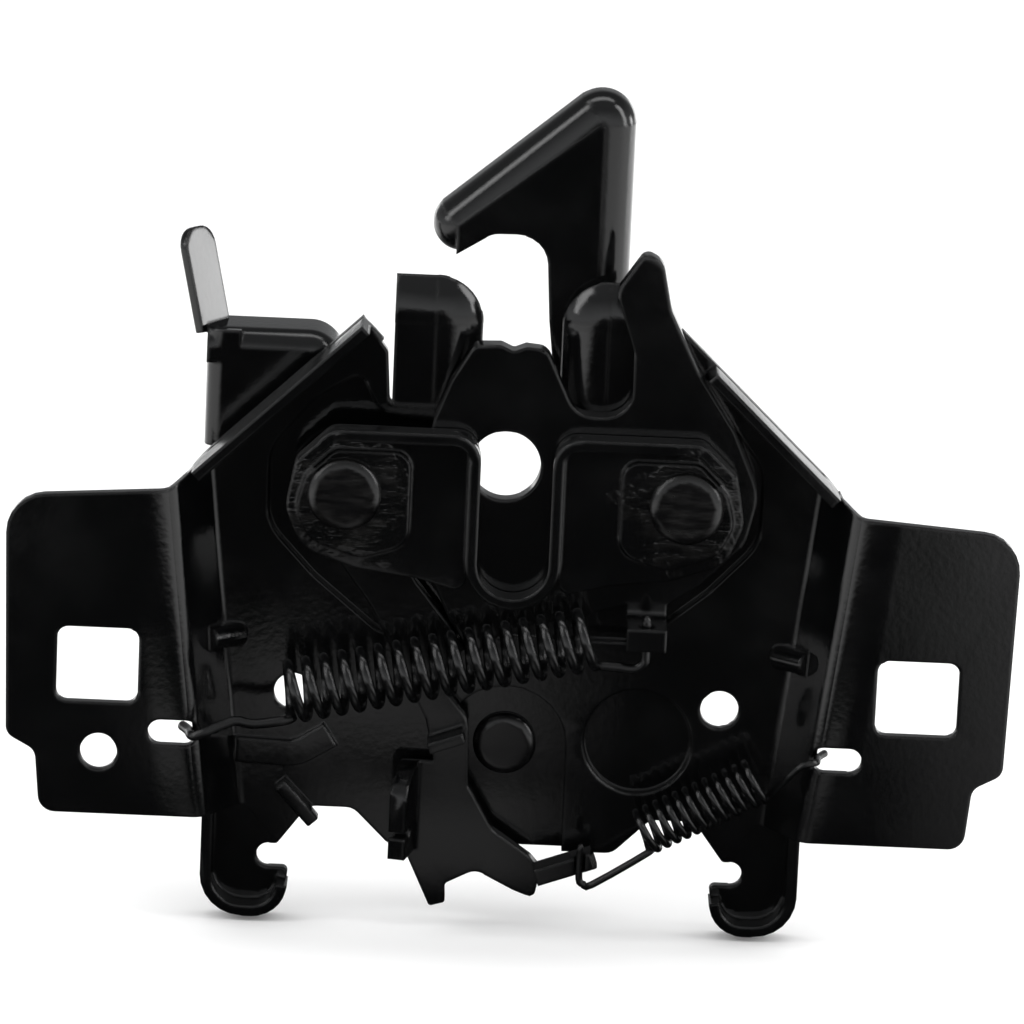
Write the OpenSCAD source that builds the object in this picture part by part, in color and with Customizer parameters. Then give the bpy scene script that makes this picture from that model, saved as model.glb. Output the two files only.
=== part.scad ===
/* [Base plate] */
// Thickness of the base plate's sheet
sheet_t = 2; // [1.6:0.1:2.4]
// Overall width across the two wings
wing_span = 178; // [176:0.5:182]
// Height of the wings' top edge above the bolt line
wing_top = 31.5; // [29:0.5:34]
// Depth of the wings' bottom edge below the bolt line
wing_bottom = 27.2; // [25:0.2:29]
// Depth of the pan behind the wings
pan_depth = 10; // [9:0.5:12]
// Half width of the pan's floor, at the bolt line
pan_half = 50; // [49:0.5:52]
// Sideways run of the pan's sloping side wall
wall_run = 6.3; // [5:0.1:7]
// Lean of the side walls from the vertical, in degrees
wall_lean = 6.6; // [5:0.2:8]
// Bend radius of the base plate, at the middle of the sheet
bend_r = 2.4; // [2:0.1:3]
// Width of the striker's throat
throat_w = 13.6; // [12:0.2:15]
// Depth of the pressed seat round the claw and pawl
seat_depth = 1.5; // [1:0.1:2]
// Radius of the rolled ears' inner top corners, beside the throat
ear_r = 8.3; // [7.5:0.1:9]
// Width of a rolled ear
ear_w = 15.6; // [15:0.1:16]
// How far the ears' edges roll back from the floor's front face
ear_depth = 4.4; // [4:0.1:4.8]
// Height of the top of the sloping pan edges
shoulder_top = 62.5; // [60:0.5:64]
// Half width between the tops of the sloping pan edges
shoulder_half = 28; // [27:0.5:30]
// How far the sloping flanges reach forward from the floor's rear face
shoulder_flange = 10; // [8:0.5:11]

/* [Fixing holes] */
// Distance between the square bolt holes
bolt_spacing = 144.4; // [142:0.2:146]
// Width of a square bolt hole
bolt_hole_w = 14.4; // [12:0.1:16]
// Height of a square bolt hole
bolt_hole_h = 13.6; // [12:0.1:16]
// Diameter of the locating hole
locating_d = 6.6; // [5:0.1:8]
// Drop of the locating hole below the bolt line
locating_drop = 15.8; // [14:0.1:17]
// Length of a spring slot
slot_len = 8.8; // [8:0.1:10]
// Height of a spring slot
slot_h = 4.6; // [4:0.1:5]
// Drop of the spring slots below the bolt line
slot_drop = 11.8; // [11:0.1:13]
// Diameter of the tooling holes in the floor
tooling_d = 6.8; // [5:0.1:8]

/* [Pivots] */
// Distance of the claw's and pawl's pivots from the centre line
pivot_x = 30; // [29.5:0.1:31]
// Height of the claw's and pawl's pivots
pivot_z = 32.4; // [31.5:0.1:33.5]
// Outer diameter of the claw's and pawl's bushings
bushing_d = 11; // [10:0.1:12]
// Diameter of the pivot rivets' shanks
shank_d = 8; // [6:0.1:8.6]
// Diameter of the pivot rivets' heads
head_d = 13; // [12:0.1:14]
// Thickness of a rivet head
head_t = 1.8; // [1.2:0.1:2.2]
// Radial running clearance on every bushing
run_gap = 0.08; // [0.05:0.01:0.1]
// Radial clearance of a rivet's shank in its hole
set_gap = 0.02; // [0.01:0.01:0.04]
// Width of the washers behind the claw and pawl
washer_w = 2.6; // [2:0.1:3]

/* [Cover plate] */
// Thickness of the cover plate
cover_t = 2; // [1.6:0.1:2.4]
// Height of the cover plate's rims above its face
rim_h = 3; // [2:0.1:3.5]
// Height of the raised pads round the rivet heads
pad_h = 0.9; // [0.6:0.1:1.2]
// Width of the cover plate's throat
cover_throat = 12.6; // [12:0.1:13.4]

/* [Claw and pawl] */
// Thickness of the claw
claw_t = 4; // [3.5:0.1:4.4]
// Thickness of the pawl
pawl_t = 3; // [2.6:0.1:3.4]
// Side clearance of the moving plates
side_gap = 0.4; // [0.3:0.05:0.6]
// Radius of the claw's rim that the pawl's tooth rides on
claw_rim_r = 46.8; // [46:0.1:47.4]
// Gap between the pawl's tooth and the claw's rim
tooth_gap = 0.35; // [0.3:0.05:0.5]
// Diameter of the claw's window
window_d = 12.4; // [10:0.2:13]
// Radius of the pawl's hub
pawl_hub_r = 9.5; // [8.5:0.1:10.5]

/* [Safety catch] */
// Thickness of the safety catch's sheet
catch_t = 2.5; // [2:0.1:3]
// Depth of the hook's folded edge
hook_fold = 8; // [6:0.5:10]
// Height of the safety catch's top above the bolt line
hook_top = 104; // [101:0.5:107]
// Drop of the safety catch's pivot below the bolt line
catch_drop = 14.5; // [13:0.5:16]
// Outer diameter of the safety catch's bushing
catch_bushing_d = 9; // [8:0.1:10]
// Diameter of the safety catch's rivet shank
catch_shank_d = 6; // [5:0.1:6.6]
// Depth of the pressed dish round the safety catch's rivet
dish_depth = 2.5; // [2:0.1:2.8]

/* [Release handle] */
// Thickness of the release handle's sheet
handle_t = 1.6; // [1.2:0.1:2]
// Depth of the handle's folded top edge
handle_fold = 12; // [10:0.5:14]
// Distance of the handle's end from the centre line
handle_reach = 55.5; // [54:0.5:58]
// Height of the handle's top above the bolt line
handle_top = 57.2; // [56:0.2:59]
// Width of the handle's finger tab
tab_w = 9; // [8:0.5:10]
// Diameter of the handle's rivets
handle_shank_d = 4; // [3:0.1:4.6]

/* [Springs] */
// Wire diameter of the claw's spring
claw_wire = 1.8; // [1.5:0.1:2]
// Middle diameter of the claw's spring
claw_coil_d = 10; // [9:0.1:10.4]
// Number of turns in the claw's spring
claw_turns = 17; // [14:1:19]
// Wire diameter of the pawl's spring
pawl_wire = 1.3; // [1:0.1:1.5]
// Middle diameter of the pawl's spring
pawl_coil_d = 7.6; // [7:0.1:8.4]
// Number of turns in the pawl's spring
pawl_turns = 12; // [10:1:14]
// Wire diameter of the safety catch's spring
catch_wire = 1.3; // [1:0.1:1.4]

/* [Hidden] */
black_coat = [0.055, 0.055, 0.06];
black_zinc = [0.12, 0.12, 0.125];
spring_black = [0.09, 0.09, 0.095];
$fn = 48;
arc_step = 15;
more = 1;
seam = 0.05;

// Depths along Y: the wings' rear face is at zero and the floor lies behind it
wing_front = -sheet_t;
floor_front = wing_front + pan_depth;
floor_rear = floor_front + sheet_t;
seat_front = floor_front + seat_depth;
seat_rear = floor_rear + seat_depth;
claw_rear = floor_front - side_gap;
claw_front = claw_rear - claw_t;
pawl_front = claw_front + (claw_t - pawl_t) / 2;
cover_rear = claw_front - side_gap;
cover_front = cover_rear - cover_t;
pad_front = cover_front - pad_h;
rim_front = cover_front - rim_h;
rivet_rear = seat_rear + head_t;
catch_front = rivet_rear + side_gap;
catch_rear = catch_front + catch_t;
dish_front = floor_front + dish_depth;
dish_rear = floor_rear + dish_depth;
coil_front = catch_rear + 0.5;
coil_rear = coil_front + 2.6 * catch_wire;
catch_washer_front = coil_rear + 0.5;
catch_washer_rear = catch_washer_front + 1.2;
handle_front = catch_rear;
handle_rear = handle_front + handle_t;

claw_pivot = [pivot_x, pivot_z];
pawl_pivot = [-pivot_x, pivot_z];
catch_pivot = [0, -catch_drop];
throat_end = 21.3;
cover_r = cover_throat / 2;
rim_mid = cover_r + cover_t / 2;
cover_top = pivot_z + 11.8;
slot_x = pan_half + wall_run - slot_drop * tan(wall_lean) + slot_len / 2 - 0.7;
claw_slot = [-slot_x, -slot_drop];
pawl_slot = [slot_x, -slot_drop];

// Plane geometry
function unit(v) = v / norm(v);
function flat(p) = [p[0], p[1]];
function radius_of(p) = len(p) > 2 ? p[2] : 0;
function left_of(a, b) = let (u = unit(b - a)) [-u[1], u[0]];
function turn_sign(a, b, c) = sign((b - a)[0] * (c - b)[1] - (b - a)[1] * (c - b)[0]);
function on_circle(c, r, a) = c + r * [cos(a), sin(a)];
function mirrored(points) = [for (i = [len(points) - 1:-1:0])
    [-points[i][0], points[i][1], radius_of(points[i])]];

// Points of the arc that rounds the corner b between a and c
function corner(a, b, c, r) = r <= 0 ? [b] :
    let (
        u = unit(a - b),
        w = unit(c - b),
        half = acos(u * w) / 2,
        middle = b + unit(u + w) * r / sin(half),
        from = b + u * r / tan(half) - middle,
        to = b + w * r / tan(half) - middle,
        start = atan2(from[1], from[0]),
        raw = atan2(to[1], to[0]) - start,
        sweep = raw > 180 ? raw - 360 : raw < -180 ? raw + 360 : raw,
        steps = max(2, ceil(abs(sweep) / arc_step))
    )
    [for (i = [0:steps]) on_circle(middle, r, start + sweep * i / steps)];

// Closed outline through corner points [x, z, radius]
function outline(p) = let (n = len(p)) [for (i = [0:n - 1])
    each corner(flat(p[(i + n - 1) % n]), flat(p[i]), flat(p[(i + 1) % n]), radius_of(p[i]))];

// Open path through corner points [x, z, radius]
function open_path(p) = let (n = len(p)) [for (i = [0:n - 1])
    each i == 0 || i == n - 1 ? [flat(p[i])] : corner(flat(p[i - 1]), flat(p[i]), flat(p[i + 1]),
        radius_of(p[i]))];

// The path moved sideways by d, with its bend radii kept concentric
function beside(p, d) = let (n = len(p)) [for (i = [0:n - 1])
    let (b = flat(p[i]))
    i == 0 ? b + d * left_of(b, flat(p[1])) :
    i == n - 1 ? b + d * left_of(flat(p[i - 1]), b) :
    let (
        a = flat(p[i - 1]),
        c = flat(p[i + 1]),
        m = left_of(a, b),
        q = left_of(b, c),
        r = radius_of(p[i]) - d * turn_sign(a, b, c)
    )
    concat(b + (m + q) * d / (1 + m * q), [max(0, r)])];

// The closed clockwise outline p, grown outwards by d
function grown(p, d) = let (n = len(p)) [for (i = [0:n - 1])
    let (
        a = flat(p[(i + n - 1) % n]),
        b = flat(p[i]),
        c = flat(p[(i + 1) % n]),
        m = left_of(a, b),
        q = left_of(b, c)
    )
    concat(b + (m + q) * d / (1 + m * q), [max(0, radius_of(p[i]) - d * turn_sign(a, b, c))])];

// Section of a bent sheet of thickness t along a path
function bent(p, t) = let (one = open_path(beside(p, t / 2)), two = open_path(beside(p, -t / 2)))
    concat(one, [for (i = [len(two) - 1:-1:0]) two[i]]);

// A flat shape drawn in X and Z, from depth y to depth y + t
module plate(y, t) {
    translate([0, y + t, 0])
        rotate([90, 0, 0])
            linear_extrude(t)
                children();
}

// A round pin or bore along Y
module round_y(c, r, y0, y1) {
    translate([c[0], y1, c[1]])
        rotate([90, 0, 0])
            cylinder(h = y1 - y0, r = r);
}

// A cone along Y, of radius r0 at depth y0 and r1 at depth y1
module cone_y(c, r0, r1, y0, y1) {
    translate([c[0], y0, c[1]])
        rotate([-90, 0, 0])
            cylinder(h = y1 - y0, r1 = r0, r2 = r1);
}

// A folded edge along the line from a to b, with the sheet on its right-hand side
module edge_fold(a, b, path, t) {
    translate([a[0], 0, a[1]])
        rotate([0, atan2((b - a)[0], (b - a)[1]), 0])
            linear_extrude(norm(b - a))
                polygon(bent(path, t));
}

// The same folded edge round a corner of radius r
module corner_fold(c, r, start, sweep, path, t) {
    translate([c[0], 0, c[1]])
        rotate([90, 0, 0])
            rotate([0, 0, start])
                rotate_extrude(angle = sweep)
                    polygon([for (q = bent(path, t)) [r - q[0], -q[1]]]);
}

module both_sides() {
    children();
    mirror([1, 0, 0])
        children();
}

// Base plate: floor, sloping walls and wings, trimmed to the front outline
wing_half = wing_span / 2;
wall_path = [[wing_half + 12, wing_front + sheet_t / 2],
    [pan_half + wall_run, wing_front + sheet_t / 2, bend_r],
    [pan_half, floor_front + sheet_t / 2, bend_r], [-12, floor_front + sheet_t / 2]];
floor_top = 47;
wall_grow = sheet_t * 0.6;
ear_from = throat_w / 2 + seam;
ear_to = ear_from + ear_w;
ear_top = shoulder_top + 7.5;
ear_foot = floor_top - 3;
ear_mid = floor_front + seam + sheet_t / 2;
ear_roll = 7;
ear_reach = 3.2;
ear_inset = 0.8;
ear_lap = 0.4;

// Section of an ear's rolled edge, set in by d
function ear_path(d) = [
    [ear_inset + d, floor_front + ear_depth - 0.6 - d],
    [ear_reach + d, ear_mid + d, ear_roll],
    [ear_r, ear_mid + d]];

shoulder_low = [pan_half + wall_run + 1.5, wing_top + 2.5];
shoulder_high = [shoulder_half, shoulder_top];
flange_proud = seam * left_of(shoulder_high, shoulder_low);
flange_from = shoulder_high + flange_proud;
flange_cut = 8.5;
right_flange_from = flange_from + flange_cut * unit(shoulder_low - shoulder_high);
flange_to = shoulder_low + 1.3 * unit(shoulder_high - shoulder_low) + flange_proud;
half_outline = [
    [ear_to + 0.3, floor_top, 1.5], [shoulder_half - 4.6, shoulder_top - 6, 1], shoulder_high,
        shoulder_low,
    [pan_half + wall_run + 4.5, wing_top + 0.6, 4], [wing_half, wing_top - 1.4, 7],
    [wing_half - 1, -13.2, 2.5], [wing_half - 6.2, -16, 2.5], [wing_half - 7.2, -wing_bottom, 3],
    [pan_half - 4.5, -wing_bottom], [pan_half - 10.2, -wing_bottom - 7.2, 0.8],
    [pan_half - 15.5, -wing_bottom, 3], [26.5, -wing_bottom, 3], [20, -wing_bottom - 6.4, 3]];
hook_x = pan_half + 2.2;
hook_low = -wing_bottom - 18.6;
foot_outline = [
    [pan_half - 6, -wing_bottom + 3], [hook_x + 1, -wing_bottom + 3], [hook_x + 1, hook_low - 1, 7.5],
    [pan_half - 11.2, hook_low - 1, 6], [pan_half - 12.4, -wing_bottom - 11.6, 1],
        [pan_half - 6.6, -wing_bottom - 11.6, 2.1],
    [pan_half - 6.6, -wing_bottom - 7.2, 2.1], [pan_half - 10.2, -wing_bottom - 7.2, 0.8],
        [pan_half - 14, -wing_bottom - 2]];
foot_rim = [[hook_x, -wing_bottom + 3.4], [hook_x, hook_low, 6.5], [pan_half - 10.4, hook_low, 5],
    [pan_half - 11.4, hook_low + 5]];
foot_rim_h = 4.5;
seat_outline = [
    [19, floor_top - 2.6, 2], [24.6, floor_top - 1.2, 3], [28, 52.6, 2], [36, pivot_z + 14.9, 7],
        [43.6, pivot_z + 5.6, 8],
    [43.4, pivot_z - 8, 8], [35, pivot_z - 17, 7], [23, 5.5, 4]];
dish_r = 11;
dart = [pan_half - 0.2 + 4 * tan(wall_lean), 4];
dimple = [23.6, -12.7];
dimple_r = 9.6;
dimple_depth = 1.5;
bead = [[-47.6, -17], [-37, -17.4, 6], [-31, -13.6]];
bead_w = 4.6;
bead_h = 1.1;
bead_hollow = 2.4;
finger = [[-39.6, -22.9], [-33.4, -29.7]];
finger_w = 2.4;
finger_h = 2.2;
flange_path = [[sheet_t / 2, floor_rear - shoulder_flange],
    [sheet_t / 2, floor_front + seam + sheet_t / 2, bend_r],
    [5.5, floor_front + seam + sheet_t / 2]];

module folded_sheet() {
    intersection() {
        union() {
            both_sides()
                rotate([0, wall_lean, 0])
                    translate([0, 0, -wing_half])
                        linear_extrude(2 * wing_half)
                            polygon(bent(wall_path, sheet_t));
        }
        plate(wing_front - more, floor_rear - wing_front + 2 * more)
            polygon(outline(concat(half_outline, mirrored(half_outline))));
    }
}

module foot() {
    plate(floor_front + seam, sheet_t)
        polygon(outline(foot_outline));
    plate(floor_front - foot_rim_h, foot_rim_h + sheet_t)
        polygon(bent(foot_rim, sheet_t));
}

// An ear that guides the striker: flat sheet with its inner and top edges rolled back
module ear_lip() {
    inset = ear_r - 1;
    edge_fold([ear_from, ear_foot], [ear_from, ear_top - ear_r + ear_lap], ear_path(seam), sheet_t);
    corner_fold([ear_from + ear_r, ear_top - ear_r], ear_r, 90, 90, ear_path(0), sheet_t);
    edge_fold([ear_from + ear_r - ear_lap, ear_top], [ear_to, ear_top], ear_path(seam), sheet_t);
    plate(floor_front + 3 * seam, sheet_t - 4 * seam)
        polygon([[ear_from + inset, ear_foot + seam], [ear_from + inset, ear_top - inset],
            [ear_to - seam, ear_top - inset], [ear_to - seam, ear_foot + seam]]);
}

module seat_shape(grow) {
    polygon(outline(grown(concat(seat_outline, mirrored(seat_outline)), grow)));
}

module dish_shape(grow, low) {
    half = dish_r + grow;
    top = half - catch_drop;
    polygon(outline([[-half, low], [-half, top, half - 0.1], [half, top, half - 0.1], [half, low]]));
}

module dart_rib() {
    translate([dart[0], floor_front - 1.9, dart[1]])
        rotate([0, 0, -42])
            rotate([0, 90, 0])
                cylinder(h = 7, r = 2.1, center = true);
}

module throat_shape() {
    translate([-throat_w / 2, throat_end])
        square([throat_w, hook_top]);
    translate([0, throat_end])
        circle(d = throat_w);
}

module base_plate() {
    color(black_coat) {
        difference() {
            union() {
                folded_sheet();
                plate(floor_front + sheet_t / 2, seat_rear - floor_front - sheet_t / 2)
                    seat_shape(wall_grow);
                both_sides() {
                    foot();
                    ear_lip();
                    dart_rib();
                }
                plate(floor_front - bead_h, bead_h + sheet_t / 2)
                    polygon(bent(bead, bead_w));
                plate(floor_front - finger_h, finger_h + sheet_t / 2)
                    polygon(bent(finger, finger_w));
                edge_fold(right_flange_from, flange_to, flange_path, sheet_t);
                mirror([1, 0, 0])
                    edge_fold(flange_from, flange_to, flange_path, sheet_t);
                round_y(dimple, dimple_r + wall_grow, floor_front + sheet_t / 2,
                    floor_rear + dimple_depth);
                plate(floor_front + sheet_t / 2, dish_rear - floor_front - sheet_t / 2)
                    dish_shape(wall_grow, -wing_bottom - 6.2);
            }
            plate(floor_rear - bead_h, bead_h + more)
                polygon(bent(bead, bead_hollow));
            plate(floor_front - more, dish_depth + more)
                dish_shape(0, -wing_bottom - 12);
            round_y(dimple, dimple_r, floor_front - more, floor_front + dimple_depth);
            plate(floor_front - more, seat_depth + more)
                seat_shape(0);
            plate(floor_front - more, seat_rear - floor_front + 2 * more)
                throat_shape();
            both_sides() {
                round_y([37.9, -6.2], tooling_d / 2, floor_front - more, floor_rear + more);
                plate(wing_front - more, sheet_t + 2 * more)
                    translate([bolt_spacing / 2, 0])
                        polygon(outline([for (s = [[-1, -1], [1, -1], [1, 1], [-1, 1]])
                            [s[0] * bolt_hole_w / 2, s[1] * bolt_hole_h / 2, 2]]));
                plate(wing_front - more, sheet_t + 2 * more)
                    translate(pawl_slot)
                        polygon(outline([for (s = [[-1, -1], [1, -1], [1, 1], [-1, 1]])
                            [s[0] * slot_len / 2, s[1] * slot_h / 2, slot_h / 2 - 0.05]]));
                round_y(claw_pivot, shank_d / 2 + set_gap, seat_front - more, seat_rear + more);
            }
            round_y([-bolt_spacing / 2 + 0.6, -locating_drop], locating_d / 2, wing_front - more, more);
            round_y(catch_pivot, catch_shank_d / 2 + set_gap, dish_front - more, dish_rear + more);
        }
    }
}

// Cover plate: flat plate with rims along its top edges and round its throat
cover_half = [
    [cover_r, cover_top, 4], [pivot_x + 2.6, cover_top, 3], [pivot_x + 8.8, cover_top - 6, 3],
    [pivot_x + 10.4, pivot_z - 3, 6], [pivot_x + 7.4, pivot_z - 10.2, 6],
        [pivot_x - 2, pivot_z - 13.6, 5],
    [17, 17.4, 4], [cover_r + cover_t, 15, 2]];
cover_rim = [
    [pivot_x + 7.6, cover_top - 6.2], [pivot_x + 2.2, cover_top - cover_t / 2, 2.5],
        [rim_mid, cover_top - cover_t / 2, 4],
    [rim_mid, throat_end - rim_mid, rim_mid - 0.01]];
pad_outline = [
    [18.5, cover_top - 4, 3], [pivot_x + 2, cover_top - 4, 3], [pivot_x + 7, cover_top - 9, 3],
    [pivot_x + 8.6, pivot_z - 3, 5], [pivot_x + 5.8, pivot_z - 8.6, 5],
        [pivot_x - 3, pivot_z - 11.6, 4], [18.5, pivot_z - 9, 4]];

module cover_plate() {
    color(black_coat) {
        difference() {
            union() {
                plate(cover_front, cover_t) {
                    both_sides()
                        polygon(outline(cover_half));
                    translate([0, throat_end])
                        circle(r = cover_r + cover_t);
                }
                plate(rim_front, rim_h + cover_t / 2)
                    polygon(bent(concat(cover_rim, mirrored(cover_rim)), cover_t));
                both_sides()
                    plate(pad_front, pad_h + cover_t / 2)
                        polygon(outline(pad_outline));
            }
            plate(rim_front - more, rim_h + cover_t + 2 * more) {
                translate([0, throat_end])
                    circle(r = cover_r);
                translate([-cover_r, throat_end])
                    square([2 * cover_r, cover_top]);
            }
            both_sides()
                round_y(claw_pivot, shank_d / 2 + set_gap, pad_front - more, cover_rear + more);
        }
    }
}

// Claw: striker slot between horn and jaw, round rim for the pawl, tab for its spring
rim_start = 145;
rim_end = 219;
tab_z = -22.8;
tab_left = -9.5;
tab_right = -2.5;
tab_reach = cover_front - 7;
claw_rim = [for (i = [0:8]) let (p = on_circle([0, 0], claw_rim_r,
    rim_start + (rim_end - rim_start) * i / 8))
    [p[0], p[1], i == 0 ? 1.5 : 0]];
claw_points = concat(
    [[-9.2, 44.6, 1.6], [-14, 37.4, 3], [-10.4, 26.8, 6], [-10.2, 14.8, 5], [-20, 14.8, 5],
        [-25.6, 26.6, 2.5],
        [-29.2, 26.9, 1], [-31.4, 26, 1], [-33.6, 27, 1]],
    claw_rim,
    [[-30, -24, 6], [-18, -21.5, 4], [tab_left, -18.6], [tab_right, -18.6], [3, -14.8, 3],
        [10.8, -7, 6], [12.8, 2, 8], [8, 13.2, 9],
        [1.4, 23.2, 9], [-4.2, 34.4, 5], [-6, 43, 3]]);
hook_eye = [claw_pivot[0] + (tab_left + tab_right) / 2, claw_pivot[1] + tab_z];

module claw() {
    color(black_coat) {
        difference() {
            union() {
                plate(claw_front, claw_t)
                    translate(claw_pivot)
                        polygon(outline(claw_points));
                translate([claw_pivot[0] + tab_left, 0, claw_pivot[1]])
                    rotate([90, 0, 90])
                        linear_extrude(tab_right - tab_left)
                            polygon(bent([[claw_front + claw_t / 2, -16],
                                [claw_front + claw_t / 2, tab_z, claw_t / 2 + 1],
                                [tab_reach, tab_z]], claw_t));
            }
            round_y(claw_pivot, bushing_d / 2 + run_gap, claw_front - more, claw_rear + more);
            plate(claw_front - more, claw_t + 2 * more)
                translate(claw_pivot + [-32, 5.4])
                    circle(d = window_d);
            translate([hook_eye[0], claw_spring_y, hook_eye[1] - claw_t])
                cylinder(h = 2 * claw_t, r = claw_wire / 2 + 0.5);
        }
    }
}

// Pawl: hub, arm with a tooth on the claw's rim, and a foot for the cable and spring
tooth_r = claw_rim_r + tooth_gap;
tooth = [for (i = [0:2]) on_circle(claw_pivot, tooth_r, 211 + 3 * i)];
ear_x = -18.4;
spring_tab = [14.2, -33.2];
spring_tab_from = [6.5, -36];
pawl_points = concat(
    [pawl_pivot + [-pawl_hub_r, -1], pawl_pivot + [0, pawl_hub_r - 1], pawl_pivot + [pawl_hub_r, -1],
        [-17.6, 17, 6]],
    [tooth[0], tooth[1], tooth[2]],
    [[-10.6, 1.6, 1.5], [-11.4, -3, 3], [-6.6, -9, 3], [-6.2, -21, 3], [-1.6, -29, 5],
        [5.4, -33.8, 1.5], [7.4, -36],
        [6.4, -41.4, 1], [2.6, -40, 2], [-4.2, -36.6, 3], [-9.6, -39.4, 1], [-9.4, -42.8, 0.6],
            [-12.2, -43.6, 0.6],
        [-16.6, -34.2, 1.5], [-16.6, -32.6], [-11.4, -30.6, 3], [-11.4, -21, 4], [-14.2, -9, 4],
            [-24.6, 11, 8]]);
stop_tab = [-10.3, -12.2];
pawl_reach = pawl_front - 7.5;

pawl_mid = pawl_front + pawl_t / 2;
pawl_flange = [[-9.5, pawl_mid], [-16.2, pawl_mid, pawl_t / 2 + 0.8], [ear_x, pawl_reach]];
pawl_flange_side = [
    [pawl_reach - more, -34], [pawl_front + pawl_t + more, -34],
    [pawl_front + pawl_t + more, -14.5, 4], [pawl_reach - more, -20, 8]];

module pawl() {
    color(black_coat) {
        difference() {
            union() {
                plate(pawl_front, pawl_t) {
                    polygon(outline(pawl_points));
                    translate(pawl_pivot)
                        circle(r = pawl_hub_r);
                }
                translate([stop_tab[0], 0, stop_tab[1]])
                    rotate([0, -20, 0])
                        translate([-3.3, pawl_front - 4.4, -1])
                            cube([6.6, 4.4 + pawl_t / 2, 2]);
                intersection() {
                    translate([0, 0, -33])
                        linear_extrude(20)
                            polygon(bent(pawl_flange, pawl_t));
                    translate([ear_x - 5, 0, 0])
                        rotate([90, 0, 90])
                            linear_extrude(20)
                                polygon(outline(pawl_flange_side));
                }
                edge_fold(spring_tab_from, spring_tab + unit(spring_tab - spring_tab_from) * 2.4,
                    [[0, pawl_reach + 2], [0, pawl_front + pawl_t / 2, pawl_t / 2 + 0.8],
                        [3.2, pawl_front + pawl_t / 2]], pawl_t);
            }
            round_y(pawl_pivot, bushing_d / 2 + run_gap, pawl_front - more, pawl_front + pawl_t + more);
            translate([ear_x - 3, pawl_reach + 2.2, -28.6])
                rotate([0, 90, 0])
                    cylinder(h = 6, r = 1.2);
            translate([ear_x - 3, pawl_reach - more, -29.2])
                cube([6, 3.2 + more, 1.2]);
            translate([spring_tab[0], pawl_spring_y, spring_tab[1] - 4])
                cylinder(h = 8, r = pawl_wire / 2 + 0.4);
        }
    }
}

// Safety catch: hook and stem with a branch to the handle
hook_right = 18.4;
slope = 40.2;
tip_r = 6;
hook_start = [-17.4, hook_top - 24.6];
hook_peak = [hook_right, hook_start[1] + (hook_right - hook_start[0]) * tan(slope)];
peak_len = tip_r / tan((90 - slope) / 2);
peak_centre = [hook_right - tip_r, hook_peak[1] - peak_len];
slope_end = hook_peak - peak_len * [cos(slope), sin(slope)];
hook_bend = 3.5;
nose_r = 4.9;
nose_from = hook_start + 3.4 * [cos(slope), sin(slope)];
nose = nose_from + nose_r * [sin(slope), -cos(slope)];
hook_lap = 0.4 * [cos(slope), sin(slope)];

// Section of the hook's folded edge, set in by d
function hook_path(flat_to, d) = [
    [catch_t / 2 + d, catch_front + hook_fold - d],
    [catch_t / 2 + d, catch_front + catch_t / 2 + d, hook_bend],
    [flat_to, catch_front + catch_t / 2 + d]];
handle_pins = [[-40, 31.5], [-32.4, 23.6]];
sink_t = 1.2;
sink_r = handle_shank_d / 2 + 1.3;
stem_high = [17.4, 24];
stem_low = catch_pivot + [8, 1];
stem_dir = unit(stem_high - stem_low);
catch_points = [
    nose + [-0.6, 0.4], slope_end + tip_r * 0.9 * [sin(slope), -cos(slope)],
    peak_centre + [tip_r * 0.1, 0], [hook_right - tip_r * 0.9, 62], [hook_right - 0.4, 56, 6],
    concat(stem_high, [30]), concat(stem_low, [6]), [catch_pivot[0] + 6, catch_pivot[1] - 8, 5],
    [catch_pivot[0] - 6, catch_pivot[1] - 8, 5], [catch_pivot[0] - 8, catch_pivot[1] - 2, 6],
    handle_pins[1] + [-0.5, -8, 30], handle_pins[0] + [-6, -3, 4], handle_pins[0] + [1.5, 6.5, 5],
    handle_pins[1] + [7.2, 1.5, 12], [-1, 3, 6], [5.8, 9, 8], [5.8, 52, 8],
    [4.6, 62, 6], [3.6, hook_top - 26.8, 5.5],
    [-6, hook_top - 27, 4], nose + [-0.6, 0.15 - nose_r]];

module safety_catch() {
    color(black_coat) {
        difference() {
            union() {
                plate(catch_front, catch_t)
                    polygon(outline(catch_points));
                corner_fold(nose, nose_r, 90 + slope, 180 - slope, hook_path(nose_r, 2 * seam), catch_t);
                edge_fold(nose_from - hook_lap, slope_end + hook_lap, hook_path(tip_r + 0.5, seam), catch_t);
                corner_fold(peak_centre, tip_r, 0, 90 + slope, hook_path(tip_r, 2 * seam), catch_t);
                edge_fold([hook_right, peak_centre[1] + norm(hook_lap)], [hook_right, 60],
                    hook_path(tip_r + 0.7, 1.4 * seam), catch_t);
            }
            round_y(catch_pivot, catch_bushing_d / 2 + run_gap, catch_front - more, catch_rear + more);
            for (p = handle_pins) {
                round_y(p, handle_shank_d / 2 + set_gap, catch_front - more, catch_rear + more);
                cone_y(p, sink_r + set_gap + more, sink_r + set_gap + more - (sink_t + more),
                    catch_front - more, catch_front + sink_t);
            }
        }
    }
}

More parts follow.
